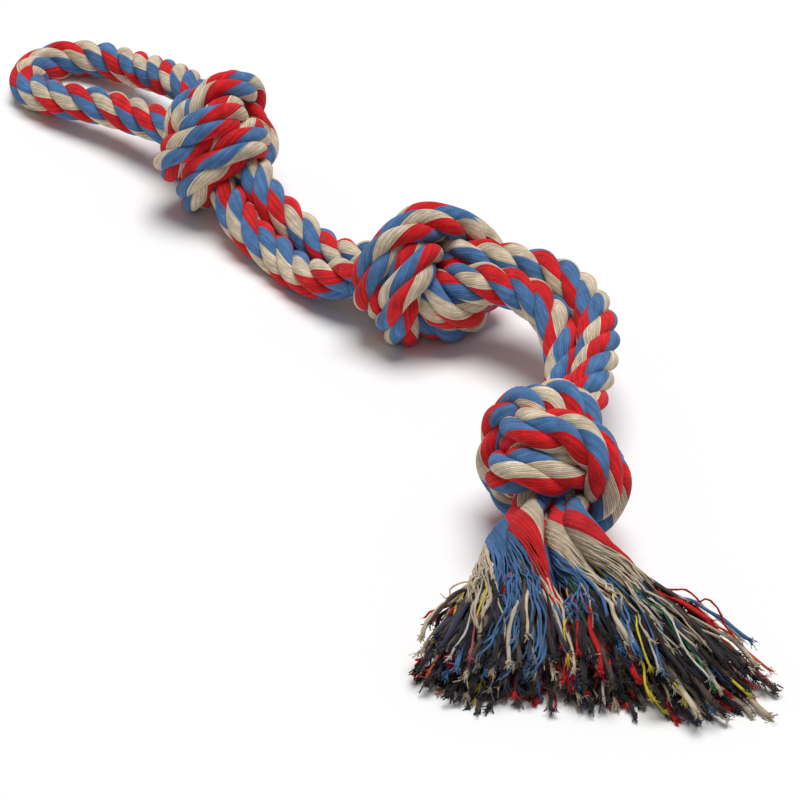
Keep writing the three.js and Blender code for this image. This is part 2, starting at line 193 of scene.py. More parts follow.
def given_way(count, a, b, gap, apart, need):
    """How far each of count points moves when the pairs a, b share what they lack in distance."""
    push = gap * ((need - apart) / apart / 2)[:, None]
    touches = np.bincount(a, minlength=count) + np.bincount(b, minlength=count)
    moved = np.stack([np.bincount(b, push[:, c], count) - np.bincount(a, push[:, c], count)
                      for c in range(3)], axis=1)
    return moved * np.minimum(1, push_share / np.maximum(touches, 1))[:, None]


class Pushing:
    """Pushes apart whatever comes closer than a rope's width."""

    def __init__(self, count):
        self.a, self.b = np.triu_indices(2 * count, 2)
        self.same = (self.a < count) == (self.b < count)
        index = np.arange(2 * count) % count
        self.free = (index >= held_points) & (index < count - held_points)
        self.size = 2 * count

    def spread(self, spacing):
        run = (self.b - self.a) * spacing
        bend = np.minimum(1, 2 * bend_radius * np.sin(run / (2 * bend_radius)))
        self.need = np.where(self.same & (run < math.pi * bend_radius), bend, 1)

    def push(self, at):
        gap = at[self.b] - at[self.a]
        near = np.flatnonzero(np.abs(gap[:, 0]) <= self.need)
        gap = gap[near]
        apart = np.sqrt(np.einsum("ij,ij->i", gap, gap))
        close = (apart < self.need[near]) & (apart > 0)
        near, gap, apart = near[close], gap[close], apart[close]
        moved = given_way(self.size, self.a[near], self.b[near], gap, apart, self.need[near])
        at[self.free] += moved[self.free]


def held_places(comes, leaves, reach_in, reach_out, turn_out):
    """Where the pulled knot's ends are held: straight out of it, the two legs side by side."""
    n = knot_point_count
    target = np.zeros((2 * n, 3))
    for way, reach, step, turn, last in ((comes, -reach_in, held_step, 0, False),
                                         (leaves, reach_out, -held_step, turn_out, True)):
        side = turn_about(square_to(np.array([0, 1, 0]), way), way, turn)
        for leg, sign in ((0, 1), (1, -1)):
            for i in range(held_points):
                index = leg * n + (n - 1 - i if last else i)
                target[index] = way * (reach + i * step) + side * sign / 2
    return target


def drawn_in(place, worked, done):
    """Draws what sticks out of the knot into a ball, which shrinks as the pull goes on."""
    shrunk = (done - ball_from) / (ball_to - ball_from)
    ball = max(ball_radius, loose_radius - (loose_radius - ball_radius) * shrunk)
    out = np.linalg.norm(place, axis=1)
    give = np.where(worked & (out > ball), give_share * (out - ball) / np.maximum(out, ball), 0)
    return place * (1 - give)[:, None]


def pull_knot(target):
    """Lays both legs out along the loose route, and shortens them while they push each other away."""
    n = knot_point_count
    middle = spaced_points(np.array(knot_route) * route_scale, n - 1)
    ahead = ahead_on(middle)
    across = unit(np.stack([-ahead[:, 1], ahead[:, 0], np.zeros(n)], axis=1))
    start = np.vstack([middle + across / 2, middle - across / 2])
    pushing = Pushing(n)
    held = ~pushing.free
    place = start.copy()
    inner = np.flatnonzero(pushing.free)
    index = np.arange(2 * n) % n
    worked = (index >= stem_points) & (index < n - stem_points)
    for step in range(pull_steps):
        fed = min(1, step / (feed_share * pull_steps))
        following = place.copy()
        following[inner] += pull_share * (place[inner - 1] + place[inner + 1] - 2 * place[inner])
        following[held] = start[held] + (target[held] - start[held]) * fed
        lengths = np.linalg.norm(np.diff(following, axis=0), axis=1)
        spacing = (lengths.sum() - lengths[n - 1]) / (2 * (n - 1))
        done = step / pull_steps
        if done >= ball_from:
            following = drawn_in(following, worked, done)
        pushing.spread(spacing)
        for _ in range(push_passes):
            pushing.push(following)
        place = following
    for _ in range(settle_passes):
        pushing.push(place)
    return place[:n], place[n:]


def place_knot(knot):
    """A knot's two legs, pulled tight, turned and laid on the floor, with its ways in and out."""
    pitch = knotted_diameter + knot_gap
    comes, leaves = unit(knot["comes"]), unit(knot["leaves"])
    along = unit(comes + leaves)
    across = turn_about(unit(np.cross([0, 0, 1], along)), along, math.radians(knot["roll"]))
    out = np.cross(along, across) * knot["hand"]
    basis = np.stack([along, across, out])
    legs = pull_knot(held_places(basis @ comes, basis @ leaves, knot["reach_in"], knot["reach_out"],
                                 math.radians(knot["turn_out"]) * knot["hand"]))
    legs = [leg @ basis * pitch for leg in legs]
    height = knotted_diameter * (0.5 - pressed_share) - min(leg[:, 2].min() for leg in legs)
    legs = [leg + [*knot["centre"], height] for leg in legs]
    return dict(legs=legs, comes=comes, leaves=leaves,
                across_in=square_to(across, comes), across_out=square_to(across, leaves))


def run_pair(before, after, route):
    """The two legs between two knots, side by side."""
    exit_point, before_exit = ((before["legs"][0][i] + before["legs"][1][i]) / 2 for i in (-1, -2))
    entry, after_entry = ((after["legs"][0][i] + after["legs"][1][i]) / 2 for i in (0, 1))
    route = np.vstack([before_exit, exit_point, *route, entry, after_entry])
    length = travelled(on_curve(route, np.linspace(0, 1, curve_samples)))[-1]
    line = spaced_points(route, round(length / (lay_length / steps_per_lay)))
    clear = run_in_share * rope_diameter
    line = line[((line - exit_point) @ before["leaves"] > clear) & ((line - entry) @ after["comes"] < -clear)]
    line = np.vstack([exit_point, line, entry])
    ways = unit(ahead_on(line))
    sides = carried_along(before["across_out"], ways)
    turned_off = np.cross(sides[-1], after["across_in"]) @ after["comes"]
    turn = math.atan2(turned_off, sides[-1] @ after["across_in"])
    run = travelled(line)
    full = smooth(np.minimum(run, run[-1] - run) / part_length)
    apart = (knotted_diameter + knot_gap) * (1 - full) + (rope_diameter + leg_gap) * full
    turned = np.array([turn_about(side, way, angle)
                       for side, way, angle in zip(sides, ways, turn * smooth(run / run[-1]))])
    offset = (turned * apart[:, None] / 2)[1:-1]
    return line[1:-1] + offset, line[1:-1] - offset


# The one line runs from leg a's cut end through the three knots to the handle, and back through them
# to leg b's cut end. The spans are where each leg's turn through each knot starts and ends along it.
tied = [place_knot(knot) for knot in knots]
pairs = [run_pair(tied[i], tied[i + 1], stretch_routes[i]) for i in (0, 1)]
runs = [tied[2]["legs"][0][::-1], pairs[1][0][::-1], tied[1]["legs"][0][::-1], pairs[0][0][::-1],
        tied[0]["legs"][0][::-1], np.array(handle_route), tied[0]["legs"][1], pairs[0][1],
        tied[1]["legs"][1], pairs[1][1], tied[2]["legs"][1]]
run_starts = np.concatenate([[0], np.cumsum([len(run) for run in runs])])
rope_points = np.vstack(runs) + centred
rope_line = on_curve(rope_points, np.linspace(0, 1, (len(rope_points) - 1) * steps_between + 1))
rope_s = travelled(rope_line)
rope_way = unit(ahead_on(rope_line))
rope_side = carried_along(unit(np.cross([0, 0, 1], rope_way[0])), rope_way)
knot_spans = {}
for run, name in ((0, "3a"), (2, "2a"), (4, "1a"), (6, "1b"), (8, "2b"), (10, "3b")):
    first, last = run_starts[run], run_starts[run + 1] - 1
    knot_spans[name] = (rope_s[first * steps_between], rope_s[last * steps_between])


def fullness(s):
    """1 where the rope has its free width, 0 where a knot squeezes it."""
    away = np.min([np.maximum(first - s, s - last) for first, last in knot_spans.values()], axis=0)
    return smooth((away - swell_start) / swell_length)


def rope_at(s):
    """The rope's middle, its way, and two directions across it."""
    at, way, side = (np.stack([np.interp(s, rope_s, values[:, c]) for c in range(3)], axis=1)
                     for values in (rope_line, rope_way, rope_side))
    way = unit(way)
    side = all_square_to(side, way)
    return at, way, side, np.cross(way, side)


# The laid rope. Four strands of soft cotton yarns are twisted together, and the yarns of each are
# twisted the other way. On a free stretch the strands keep their lay. In a knot they press into
# whatever room there is, so here they push each other into place one by one.
strand_count = 4
strand_radius = 0.0054
strand_spacing = 0.0090
strand_offset = 0.0071
knotted_offset = 0.0054
strand_step = 0.004
strand_stray = 0.0100
own_run = 0.0145
pack_passes = 140
pack_pull = 0.10
pack_hold = 0.01
pack_reach = 0.0145
pack_search = 14
floor_squash = 0.8
knotted_lay = 0.095
turn_samples = 4000
yarn_pitch = 0.0335
knotted_yarn_pitch = 0.031
yarn_drift = 0.75
drift_length = 0.04
strand_sides = 48
end_taper = 0.12
taper_length = 0.008
floor_press = 0.0012
random_seed = 4
rng = np.random.default_rng(random_seed)

strand_s = np.linspace(0, rope_s[-1], round(rope_s[-1] / strand_step) + 1)


def turned_along(s, free_pitch, knotted_pitch):
    """The angle that a lay has turned by, which is longer or shorter in the knots."""
    grid = np.linspace(0, rope_s[-1], turn_samples)
    rate = 1 / free_pitch + (1 / knotted_pitch - 1 / free_pitch) * (1 - fullness(grid))
    turn = np.concatenate([[0], np.cumsum((rate[1:] + rate[:-1]) / 2 * np.diff(grid))]) * 2 * math.pi
    return np.interp(s, grid, turn)


def strand_spokes(s):
    """The rope's middle, and the ways from it to its four strands."""
    at, way, side, third = rope_at(s)
    strand_turns = 2 * math.pi * np.arange(strand_count)[:, None] / strand_count
    turn = turned_along(s, lay_length, knotted_lay) + strand_turns
    return at, side * np.cos(turn)[..., None] + third * np.sin(turn)[..., None]


def pack_strands(at, middle):
    """Pushes strands apart, pulls them straight, and keeps each near its own rope's middle."""
    home = at.copy()
    count = at.shape[1]
    strand = np.repeat(np.arange(strand_count), count)
    place = np.tile(np.arange(count), strand_count)
    run = round(own_run / strand_step)
    for done in range(pack_passes):
        flat = at.reshape(-1, 3)
        if done % pack_search == 0:
            small = flat.astype(np.float32)
            square = np.einsum("ij,ij->i", small, small)
            near = square[:, None] + square[None, :] - 2 * small @ small.T < pack_reach ** 2
            a, b = np.nonzero(np.triu(near, 1))
            apart_enough = (strand[a] != strand[b]) | (np.abs(place[a] - place[b]) > run)
            a, b = a[apart_enough], b[apart_enough]
        gap = flat[b] - flat[a]
        apart = np.sqrt(np.einsum("ij,ij->i", gap, gap))
        close = apart < strand_spacing
        moved = given_way(len(flat), a[close], b[close], gap[close], apart[close], strand_spacing)
        at = at + moved.reshape(at.shape)
        at[:, 1:-1] += pack_pull * (at[:, :-2] + at[:, 2:] - 2 * at[:, 1:-1])
        at += pack_hold * (home - at)
        off = at - middle
        far = np.linalg.norm(off, axis=-1, keepdims=True)
        at = middle + off * np.minimum(1, strand_stray / np.maximum(far, strand_radius / 2))
        at[..., 2] = np.maximum(at[..., 2], strand_radius * floor_squash)
    return at


def points_between(points):
    """A cubic's points halfway between each point of a line and the next."""
    before_first = 2 * points[:, :1] - points[:, 1:2]
    after_last = 2 * points[:, -1:] - points[:, -2:-1]
    padded = np.concatenate([before_first, points, after_last], axis=1)
    return (9 * (padded[:, 1:-2] + padded[:, 2:-1]) - padded[:, :-3] - padded[:, 3:]) / 16


rope_middle, spokes = strand_spokes(strand_s)
offset = knotted_offset + (strand_offset - knotted_offset) * fullness(strand_s)
packed = pack_strands(rope_middle + spokes * offset[None, :, None], rope_middle)
ring_s = np.linspace(0, rope_s[-1], 2 * len(strand_s) - 1)
strand_at = np.empty((strand_count, len(ring_s), 3))
strand_at[:, ::2] = packed
strand_at[:, 1::2] = points_between(packed)
strand_way = unit(np.gradient(strand_at, axis=1))
strand_out = all_square_to(strand_spokes(ring_s)[1], strand_way)
drift_marks = np.arange(0, rope_s[-1] + drift_length, drift_length)
yarn_turn = turned_along(ring_s, yarn_pitch, knotted_yarn_pitch)
yarn_phase = np.empty((strand_count, len(ring_s)))
for k in range(strand_count):
    first_turn = rng.uniform(0, 2 * math.pi)
    drift = np.cumsum(rng.normal(0, yarn_drift, len(drift_marks)))
    yarn_phase[k] = first_turn + np.interp(ring_s, drift_marks, drift) - yarn_turn


def on_floor(points):
    """Presses flat what would go through the floor."""
    low = points[..., 2] < floor_press
    points[..., 2][low] = floor_press * np.exp((points[..., 2][low] - floor_press) / floor_press)
    return points


def strand_rings(first, last):
    """Points of the four strands from ring to ring: strand, ring, point around, place."""
    at, way, out = (values[:, first:last + 1] for values in (strand_at, strand_way, strand_out))
    angle = 2 * math.pi * np.arange(strand_sides) / strand_sides + yarn_phase[:, first:last + 1, None]
    across = np.cross(way, out)
    from_end = np.minimum(ring_s, ring_s[-1] - ring_s)[None, first:last + 1, None, None]
    radius = strand_radius * (1 - end_taper * (1 - smooth(from_end / taper_length)))
    rings = at[:, :, None] + radius * (out[:, :, None] * np.cos(angle)[..., None]
                                       + across[:, :, None] * np.sin(angle)[..., None])
    return on_floor(rings)


def tube_mesh(name, tubes, along, tube_numbers):
    """A mesh of closed tubes. Its UV map has the way along a tube and the place around it."""
    count, rings, sides = tubes.shape[:3]
    first = np.arange(count)[:, None, None] * rings * sides
    ring = np.arange(rings - 1)[None, :, None] * sides
    j = np.arange(sides)[None, None, :]
    after = (j + 1) % sides
    quads = np.stack(np.broadcast_arrays(first + ring + j, first + ring + after,
                                         first + ring + sides + after, first + ring + sides + j), axis=-1)
    starts = np.arange(sides)[::-1][None, :] + np.arange(count)[:, None] * rings * sides
    ends = np.arange(sides)[None, :] + np.arange(count)[:, None] * rings * sides + (rings - 1) * sides
    loops = np.concatenate([quads.reshape(-1), starts.reshape(-1), ends.reshape(-1)])
    totals = np.concatenate([np.full(quads.size // 4, 4), np.full(2 * count, sides)])
    mesh = bpy.data.meshes.new(name)
    mesh.vertices.add(tubes.size // 3)
    mesh.vertices.foreach_set("co", tubes.reshape(-1).astype(np.float32))
    mesh.loops.add(len(loops))
    mesh.loops.foreach_set("vertex_index", loops.astype(np.int32))
    mesh.polygons.add(len(totals))
    mesh.polygons.foreach_set("loop_start", np.concatenate([[0], np.cumsum(totals)[:-1]]).astype(np.int32))
    mesh.polygons.foreach_set("loop_total", totals.astype(np.int32))
    u = np.broadcast_to(np.asarray(along).reshape(1, -1, 1), (count, rings, 1))
    numbers = np.asarray(tube_numbers)[:, None, None]
    v0 = np.broadcast_to(numbers + j / sides, (count, rings - 1, sides))
    v1 = np.broadcast_to(numbers + (j + 1) / sides, (count, rings - 1, sides))
    u0 = np.broadcast_to(u[:, :-1], v0.shape)
    u1 = np.broadcast_to(u[:, 1:], v0.shape)
    side_uv = np.stack([np.stack([u0, v0], -1), np.stack([u0, v1], -1),
                        np.stack([u1, v1], -1), np.stack([u1, v0], -1)], axis=3)
    cap_uv = np.zeros((2 * count * sides, 2))
    all_uv = np.concatenate([side_uv.reshape(-1, 2), cap_uv]).reshape(-1)
    layer = mesh.uv_layers.new(name="yarns")
    layer.data.foreach_set("uv", all_uv.astype(np.float32))
    mesh.update(calc_edges=True)
    mesh.validate()
    mesh.polygons.foreach_set("use_smooth", totals == 4)
    made = bpy.data.objects.new(name, mesh)
    scene.collection.objects.link(made)
    return made


# Cotton fibre. All the toy is spun from soft cotton: fine lines wind along each yarn, lint lightens
# it in places, it is a little worn in others, and its nap has a height.
fibres_along = 160
fibres_around = 90
fibre_slant = 500
lint_scale = 1300
worn_scale = 120
noise_middle = (0.3, 0.7)
fibre_shades = (0.67, 1.46)
worn_shades = (0.76, 1.16)
fleck_range = (0.62, 0.8)
lint_colour = (225, 220, 212)
lint_height = 0.5
nap_strength = 0.8
nap_height = 0.0004
ridge_share = 0.7


def srgb(red, green, blue):
    return tuple(((c / 255 + 0.055) / 1.055) ** 2.4 for c in (red, green, blue)) + (1,)


def new_group(name, inputs, outputs):
    group = bpy.data.node_groups.new(name, "ShaderNodeTree")
    for label, kind, value in inputs:
        socket = group.interface.new_socket(label, in_out="INPUT", socket_type=kind)
        socket.default_value = value
    for label, kind in outputs:
        group.interface.new_socket(label, in_out="OUTPUT", socket_type=kind)
    return group, group.nodes.new("NodeGroupInput"), group.nodes.new("NodeGroupOutput")


def feed(links, socket, value):
    """Links what another node puts out, or sets a plain value."""
    if isinstance(value, bpy.types.NodeSocket):
        links.new(value, socket)
    else:
        socket.default_value = value


def maths(nodes, links, operation, *values):
    node = nodes.new("ShaderNodeMath")
    node.operation = operation
    for socket, value in zip(node.inputs, values):
        feed(links, socket, value)
    return node.outputs[0]


def noise(nodes, links, place, scale, detail):
    node = nodes.new("ShaderNodeTexNoise")
    node.inputs["Scale"].default_value = scale
    node.inputs["Detail"].default_value = detail
    links.new(place, node.inputs["Vector"])
    return node.outputs["Fac"]


def mapped(nodes, links, value, source, target=(0, 1), curve="LINEAR"):
    node = nodes.new("ShaderNodeMapRange")
    node.interpolation_type = curve
    for label, end in zip(("From Min", "From Max", "To Min", "To Max"), (*source, *target)):
        node.inputs[label].default_value = end
    links.new(value, node.inputs["Value"])
    return node.outputs[0]


def mixed_colour(nodes, links, blend, factor, under, over):
    node = nodes.new("ShaderNodeMix")
    node.data_type = "RGBA"
    node.blend_type = blend
    for label, value in (("Factor", factor), ("A", under), ("B", over)):
        feed(links, node.inputs[label], value)
    return node.outputs["Result"]


fibre, group_in, group_out = new_group("cotton_fibre", [
    ("Colour", "NodeSocketColor", (0.5, 0.5, 0.5, 1)), ("Along", "NodeSocketFloat", 0.0),
    ("Around", "NodeSocketFloat", 0.0), ("Lint", "NodeSocketFloat", 0.2)],
    [("Colour", "NodeSocketColor"), ("Height", "NodeSocketFloat")])
nodes, links = fibre.nodes, fibre.links
colour_in, along_in, around_in, lint_in = (group_in.outputs[label]
                                           for label in ("Colour", "Along", "Around", "Lint"))
slant = maths(nodes, links, "MULTIPLY", along_in, fibre_slant)
winding = nodes.new("ShaderNodeCombineXYZ")
links.new(maths(nodes, links, "MULTIPLY", along_in, fibres_along), winding.inputs[0])
links.new(maths(nodes, links, "MULTIPLY_ADD", around_in, fibres_around, slant), winding.inputs[1])
place = nodes.new("ShaderNodeTexCoord").outputs["Object"]
fine = noise(nodes, links, winding.outputs[0], scale=1, detail=3)
lint = noise(nodes, links, place, scale=lint_scale, detail=2)
cloud = noise(nodes, links, place, scale=worn_scale, detail=4)
shade = maths(nodes, links, "MULTIPLY", mapped(nodes, links, fine, noise_middle, fibre_shades),
              mapped(nodes, links, cloud, noise_middle, worn_shades))
grey = nodes.new("ShaderNodeCombineColor")
for label in ("Red", "Green", "Blue"):
    links.new(shade, grey.inputs[label])
toned = mixed_colour(nodes, links, "MULTIPLY", 1, colour_in, grey.outputs[0])
flecks = maths(nodes, links, "MULTIPLY", mapped(nodes, links, lint, fleck_range), lint_in)
linty = mixed_colour(nodes, links, "MIX", flecks, toned, srgb(*lint_colour))
links.new(linty, group_out.inputs["Colour"])
links.new(maths(nodes, links, "MULTIPLY_ADD", lint, lint_height, fine), group_out.inputs["Height"])


def cotton_material(name, make_colour, lint_share):
    """Dull napped cotton. make_colour adds the nodes that colour the yarns."""
    made = bpy.data.materials.new(name)
    made.use_nodes = True
    nodes, links = made.node_tree.nodes, made.node_tree.links
    shader = nodes["Principled BSDF"]
    uv = nodes.new("ShaderNodeUVMap")
    uv.uv_map = "yarns"
    parts = nodes.new("ShaderNodeSeparateXYZ")
    links.new(uv.outputs[0], parts.inputs[0])
    group = nodes.new("ShaderNodeGroup")
    group.node_tree = fibre
    colour, ridge = make_colour(nodes, links, parts)
    links.new(colour, group.inputs["Colour"])
    links.new(parts.outputs["X"], group.inputs["Along"])
    links.new(parts.outputs["Y"], group.inputs["Around"])
    group.inputs["Lint"].default_value = lint_share
    links.new(group.outputs["Colour"], shader.inputs["Base Color"])
    bump = nodes.new("ShaderNodeBump")
    bump.inputs["Strength"].default_value = nap_strength
    bump.inputs["Distance"].default_value = nap_height
    height = group.outputs["Height"]
    if ridge:
        height = maths(nodes, links, "MULTIPLY_ADD", ridge, ridge_share, height)
    links.new(height, bump.inputs["Height"])
    links.new(bump.outputs[0], shader.inputs["Normal"])
    shader.inputs["Roughness"].default_value = 0.9
    shader.inputs["Specular IOR Level"].default_value = 0.1
    shader.inputs["Sheen Weight"].default_value = 0.08
    shader.inputs["Sheen Roughness"].default_value = 0.6
    return made


# The rope's cover. Each strand is wound from about thirty soft yarns, a third of them red, a third
# beige and a third blue, so that three bands of colour wind along it, with a groove at each yarn,
# and each yarn's colour carries painted shade, darker in its grooves and lighter on its crest.
yarn_red = srgb(216, 30, 36)
yarn_blue = srgb(80, 122, 172)
yarn_beige = srgb(214, 197, 171)
yarns_around = 30
half_yarn = 0.5
groove_width = 0.3
# Painted shade: the value of a yarn's colour in its grooves, and how much lighter it is painted on its crest.
groove_light = 0.50
painted_groove_shade = 0.42
yarn_light = 0.40


def rope_colours(nodes, links, parts):
    bands = nodes.new("ShaderNodeValToRGB")
    bands.color_ramp.interpolation = "CONSTANT"
    stops = bands.color_ramp.elements
    stops[0].color = yarn_red
    stops[1].position = 1 / 3
    stops[1].color = yarn_beige
    stops.new(2 / 3).color = yarn_blue
    links.new(maths(nodes, links, "FRACT", parts.outputs["Y"]), bands.inputs["Fac"])
    spread = maths(nodes, links, "MULTIPLY", parts.outputs["Y"], yarns_around)
    yarn = nodes.new("ShaderNodeTexWhiteNoise")
    yarn.noise_dimensions = "1D"
    links.new(maths(nodes, links, "FLOOR", spread), yarn.inputs["W"])
    # Painted shade: the ridge darkens each yarn's colour towards the grooves between yarns and lightens it on
    # the crest. The same ridge also raises the bump. The random value per yarn is its own tone.
    across_yarn = maths(nodes, links, "PINGPONG", spread, half_yarn)
    ridge = mapped(nodes, links, across_yarn, (0, groove_width), curve="SMOOTHSTEP")
    light = maths(nodes, links, "MULTIPLY_ADD", yarn.outputs["Value"], yarn_light, groove_light)
    yarn_tone_and_groove_shade = nodes.new("ShaderNodeHueSaturation")
    links.new(maths(nodes, links, "MULTIPLY_ADD", ridge, painted_groove_shade, light), yarn_tone_and_groove_shade.inputs["Value"])
    links.new(bands.outputs["Color"], yarn_tone_and_groove_shade.inputs["Color"])
    return yarn_tone_and_groove_shade.outputs["Color"], ridge


rope_cotton = cotton_material("rope_cotton", rope_colours, lint_share=0.15)


def rope_piece(name, from_s, to_s):
    """A run of the rope's four strands, from one place along it to another."""
    first, last = (int(np.argmin(np.abs(ring_s - end))) for end in (from_s, to_s))
    s = ring_s[first:last + 1]
    made = tube_mesh(name, strand_rings(first, last), s, np.arange(strand_count))
    made.data.materials.append(rope_cotton)
    return made


# The handle. It is the fold of the same cotton rope, left open as a loop for a hand. Nothing but the
# first knot holds it, and it bends beside that knot.
handle = rope_piece("rope_handle", knot_spans["1a"][1], knot_spans["1b"][0])
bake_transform(handle)
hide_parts("handle_grip", "handle_neck_leg_a", "handle_neck_leg_b")

# The first knot, and the stretch after it. The rope's two legs are tied as one, and run on side by
# side to the middle knot. The stretch between the two knots is where they bend.
leg_a = rope_piece("rope_leg_a_first", knot_spans["2a"][1], knot_spans["1a"][1])
leg_b = rope_piece("rope_leg_b_first", knot_spans["1b"][0], knot_spans["2b"][0])
for leg, letter in ((leg_a, "a"), (leg_b, "b")):
    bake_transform(leg)
    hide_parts(f"knot_1_leg_{letter}", f"stretch_1_leg_{letter}")

# The middle knot, and the stretch after it. It is tied in the same two cotton legs, which leave it
# on the side away from the camera, run to the last knot, and bend on the way.
leg_a = rope_piece("rope_leg_a_middle", knot_spans["3a"][1], knot_spans["2a"][1])
leg_b = rope_piece("rope_leg_b_middle", knot_spans["2b"][0], knot_spans["3b"][0])
for leg, letter in ((leg_a, "a"), (leg_b, "b")):
    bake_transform(leg)
    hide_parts(f"knot_2_leg_{letter}", f"stretch_2_leg_{letter}")

# The last knot. It is tied in the other hand, and it keeps both cotton legs from coming undone. Each
# leg ends where it leaves the knot, and the strands of the tassel are its own, opened.
leg_a = rope_piece("rope_leg_a_last", knot_spans["3a"][0], knot_spans["3a"][1])
leg_b = rope_piece("rope_leg_b_last", knot_spans["3b"][0], knot_spans["3b"][1])
for leg, letter in ((leg_a, "a"), (leg_b, "b")):
    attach(leg, "last_knot")
    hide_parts(f"knot_3_leg_{letter}")

# The tassel. The eight strand ends are combed open over the floor. Each is fine coloured cover yarns
# round a core of thick dark ones, and keeps its twist for a while. Then its colours part into locks,
# the core and a few odd bright yarns show, and all the yarns are cut ragged.
fan_back = 0.015
fan_reaches = [0.133, 0.126, 0.132, 0.158]
fan_from = -62
fan_to = 12
fan_step = math.radians(fan_to - fan_from) / len(fan_reaches)
middle_column = 1.5
brush_height = 0.013
brush_gap = 0.0008
lead_share = 0.3
fall_share = 0.55
fan_hump = 0.005
shoulder = 0.009
elbow = 0.006
tuck = 0.004

# How a strand swells, turns and opens, by shares of its brush's reach.
bundle_radius = 0.0096
swell_run = 0.24
round_run = 0.1
end_twist = 4.8
open_from = 0.42
open_to = 0.92
open_spread = 1.05
side_scatter = 0.12
height_scatter = 0.25
lock_draw = 0.45

# Its yarns: how many, how thick, how deep in the strand, how long and of what colours.
cover_yarns = 60
core_yarns = 62
odd_yarns = 20
cover_radius = 0.00048
core_radius = 0.00096
odd_radius = 0.0005
thicker_or_thinner = (0.85, 1.2)
lumpiness = (0.84, 1.16)
tip_swell = 0.3
tip_swell_from = 0.6
tip_swell_run = 0.4
core_depth = 0.72
odd_depth = 0.74
opened_core = 0.76
lock_length = 0.83
core_length = 0.92
upper_loss = 0.04
lock_scatter = 0.06
yarn_scatter = 0.035
shortest = 0.66
longest = 0.98
tassel_rings = 40
tassel_sides = 6
any_way = (0.3, 0.2, 0.93)   # no yarn starts along it
lock_colours = ["red", "beige", "blue"]
yarn_colours = {
    "red": yarn_red, "blue": yarn_blue, "beige": yarn_beige,
    "charcoal": srgb(50, 45, 48), "soot": srgb(38, 35, 38), "brown": srgb(84, 70, 64),
    "slate": srgb(60, 62, 84), "ash": srgb(128, 118, 110),
    "yellow": srgb(226, 205, 60), "orange": srgb(226, 110, 60), "green": srgb(30, 110, 70),
    "purple": srgb(86, 60, 110), "white": srgb(222, 216, 208), "pink": srgb(190, 90, 110),
}
core_choice = (["charcoal"] * 7 + ["soot"] * 5 + ["brown"] * 3 + ["slate"] * 2
               + ["ash", "beige", "blue", "red", "red", "red", "beige"])
odd_choice = ["yellow", "orange", "green", "purple", "white", "beige", "pink", "blue", "red", "beige"]
lighter_or_darker = (0.8, 1.1)

# How a yarn waves and curls, and the tuft of short fibres at its cut tip.
wave_sizes = [(0.0022, 0.070), (0.0010, 0.030), (0.0006, 0.015)]
wave_stretch = (0.7, 1.4)
own_wave = 0.7
wave_from = 0.25
wave_run = 0.6
tip_curl = 0.0035
curl_from = 0.7
curl_run = 0.3
sag_share = 0.5
sag_from = 0.7
sag_run = 0.35
lowest = 0.0006
cover_tuft = 4
core_tuft = 15
tuft_rings = 4
tuft_sides = 4
tuft_length = 0.0027
tuft_lengths = (0.4, 1.2)
tuft_spread = 0.5
tuft_scatter = 0.6
tuft_root = 0.35
tuft_splay = 1.4
tuft_thickness = 0.34
tuft_taper = 0.3

yarn_count = cover_yarns + core_yarns + odd_yarns
is_cover = np.arange(yarn_count) < cover_yarns
locks = len(lock_colours)
lock = np.minimum(np.arange(yarn_count) * locks // cover_yarns, locks)

end_rings = [0, -1]
outward_ways = [-strand_way[:, 0], strand_way[:, -1]]
end_middles = [rope_middle[0], rope_middle[-1]]
outward = unit(rope_way[-1] - rope_way[0])
level = unit(np.cross([0, 0, 1], outward))
rise = np.cross(outward, level)
end_middle = (end_middles[0] + end_middles[1]) / 2
fan_point = end_middle - outward * fan_back


def fanned(angle, along, height):
    """The point at a level angle and distance from where the fan opens."""
    x = fan_point[0] + along * np.cos(angle)
    y = fan_point[1] + along * np.sin(angle)
    return np.stack(np.broadcast_arrays(x, y, height), axis=-1)


def along_tubes(lines, radii, sides):
    """Tubes round lines[tube, ring], with a frame carried along each line."""
    ways = unit(np.gradient(lines, axis=1))
    carried = unit(np.cross(ways[:, 0], any_way))
    turns = (2 * math.pi * np.arange(sides) / sides)[None, :, None]
    tubes = np.empty((*lines.shape[:2], sides, 3))
    for i in range(lines.shape[1]):
        carried = all_square_to(carried, ways[:, i])
        third = np.cross(ways[:, i], carried)
        ring = carried[:, None] * np.cos(turns) + third[:, None] * np.sin(turns)
        tubes[:, i] = lines[:, i, None] + ring * radii[:, i, None, None]
    return tubes


def waves(count, run, reach):
    wave = np.zeros((count, run.shape[1], 3))
    for size, length in wave_sizes:
        shift = rng.uniform(0, 2 * math.pi, (count, 1, 3))
        stretch = rng.uniform(*wave_stretch, (count, 1, 1))
        wave += size * np.sin(2 * math.pi * run[..., None] * reach / (length * stretch) + shift)
    return wave


def strand_yarns(end, k):
    """The yarns in a strand's end: their ways from its middle, their depths and their colours."""
    ring = end_rings[end]
    out = strand_out[k, ring]
    third = np.cross(strand_way[k, ring], out)
    cover = 2 * math.pi * (np.arange(cover_yarns) + 0.5) / cover_yarns + yarn_phase[k, ring]
    inner = np.arange(core_yarns) + 0.5
    core = inner * math.pi * (3 - math.sqrt(5))
    odd = rng.uniform(0, 2 * math.pi, odd_yarns)
    angle = np.concatenate([cover, core, odd])
    depth = np.concatenate([np.full(cover_yarns, 1 - cover_radius / strand_radius),
                            core_depth * np.sqrt(inner / core_yarns), np.full(odd_yarns, odd_depth)])
    names = [lock_colours[j] for j in lock[:cover_yarns]]
    names += list(rng.choice(core_choice, core_yarns)) + list(rng.choice(odd_choice, odd_yarns))
    return out * np.cos(angle)[:, None] + third * np.sin(angle)[:, None], depth, names


def yarn_lengths(layer):
    """A length for each lock, and one for the rest, with each yarn a little longer or shorter."""
    lost = upper_loss * layer
    length = np.append(rng.normal(lock_length - lost, lock_scatter, locks), core_length - lost)[lock]
    return np.clip(length + rng.normal(0, yarn_scatter, yarn_count), shortest, longest)


